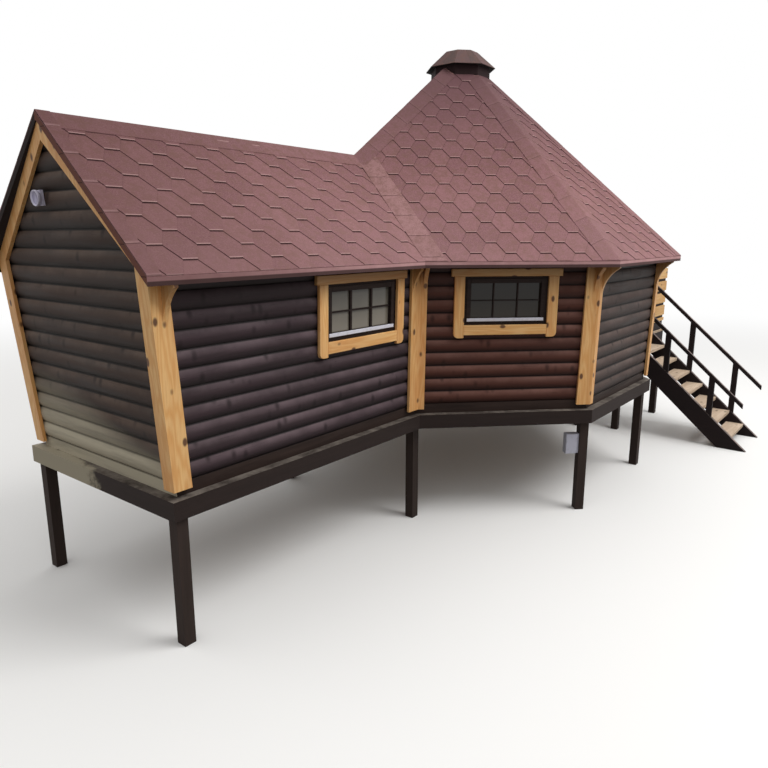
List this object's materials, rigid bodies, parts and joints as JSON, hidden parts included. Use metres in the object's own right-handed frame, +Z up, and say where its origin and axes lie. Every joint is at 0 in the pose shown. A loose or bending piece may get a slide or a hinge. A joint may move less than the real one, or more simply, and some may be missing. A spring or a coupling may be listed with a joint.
{
  "type": "sauna hut",
  "caption": "Eight-sided log sauna hut with a tall shingled pyramid roof, smoke cap, gabled log wing, piers, stair and landing.",
  "frame": {"origin": "on the ground at the middle of the whole footprint", "axes": "+Z up; -X towards the gabled wing's gable, +X towards the landing and door, -Y the side the stair runs down to"},
  "size_m": [9.2304, 5.898, 5.18],
  "materials": {
    "wall_logs": "dark stained, weathered",
    "beam_wood": "dark stained, dusty",
    "pier_wood": "dark stained, rough",
    "floor_wood": "planed",
    "pine_trim": "honey stain with knots",
    "collar_wood": "dark stained",
    "window_frame_wood": "dark stained",
    "window_glass": "clear over a dark room",
    "light_rail": "satin",
    "felt_shingles": "boards under mineral-faced felt shingles, matt",
    "hip_shingles": "mineral-faced felt, matt",
    "valley_felt": "smooth felt, matt",
    "cap_shingles": "boards under felt shingles, matt",
    "door_wood": "stained",
    "stair_dark_wood": "dark stained",
    "tread_wood": "weathered pale",
    "lamp_white": "satin",
    "box_grey": "satin"
  },
  "bodies": {
    "root": {"barge_boards": "pine_trim", "body_base_frame": "beam_wood", "body_corner_posts": "pine_trim", "body_floor": "floor_wood", "body_piers": "pier_wood", "body_roof_panels": "felt_shingles", "door_jambs": "door_wood", "door_leaf": "door_wood", "door_lintel_and_threshold": "wall_logs", "door_side_walls": "wall_logs", "eave_brackets": "pine_trim", "front_left_log_wall": "wall_logs", "front_log_wall": "wall_logs", "gable_corner_posts": "pine_trim", "gable_lamp": "lamp_white", "gable_log_wall": "wall_logs", "handrails": "stair_dark_wood", "hip_caps": "hip_shingles", "landing_deck": "tread_wood", "landing_frame": "stair_dark_wood", "landing_piers": "pier_wood", "rear_left_log_wall": "wall_logs", "rear_log_wall": "wall_logs", "ridge_cap": "hip_shingles", "right_front_log_wall": "wall_logs", "right_rear_log_wall": "wall_logs", "screen_backing": "stair_dark_wood", "screen_boards": "tread_wood", "service_box": "box_grey", "stair_stringers": "stair_dark_wood", "stair_treads": "tread_wood", "valley_strips": "valley_felt", "vent_cap": "cap_shingles", "vent_collar": "collar_wood", "window_drip_rails": "light_rail", "window_frames": "window_frame_wood", "window_glass": "window_glass", "window_trims": "pine_trim", "wing_base_frame": "beam_wood", "wing_floor": "floor_wood", "wing_front_log_wall": "wall_logs", "wing_piers": "pier_wood", "wing_rear_log_wall": "wall_logs", "wing_roof_panels": "felt_shingles"}
  },
  "joints": []
}
